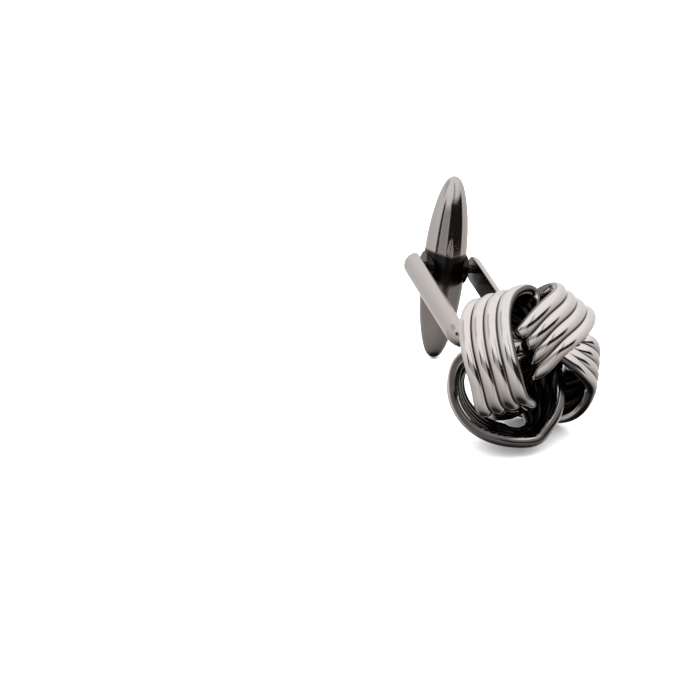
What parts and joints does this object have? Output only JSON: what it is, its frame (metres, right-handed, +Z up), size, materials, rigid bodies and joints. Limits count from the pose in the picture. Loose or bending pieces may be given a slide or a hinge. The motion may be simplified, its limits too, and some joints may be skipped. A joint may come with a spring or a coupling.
{
  "type": "cufflink",
  "caption": "Knotted cufflink: two interlaced bands of four rods form a hollow knot, joined by a bent yoke to a bullet shaped bar that turns on a pin.",
  "frame": {"origin": "on the table under the middle of the whole cufflink as it lies, on its knot and the lower end of its bar", "axes": "+Z up from the table; +Y along the yoke's level direction from the knot to the bar; +X to the right when the bar is beyond the knot"},
  "size_m": [0.0152, 0.032, 0.0175],
  "materials": {
    "polished_gunmetal": "mirror polished gunmetal plating",
    "dark_pin": "dark plated pin, dull"
  },
  "bodies": {
    "link": {"woven_band_a": "polished_gunmetal", "woven_band_b": "polished_gunmetal", "yoke": "polished_gunmetal", "hinge_pin": "dark_pin"},
    "bar": {"toggle_bar": "polished_gunmetal"}
  },
  "joints": [
    {"name": "bar_turn", "type": "hinge", "parent": "link", "child": "bar", "pos_m": [-0.00146, 0.0135, 0.00876], "axis": [0.9834, 0.0148, -0.1806], "continuous": true}
  ]
}
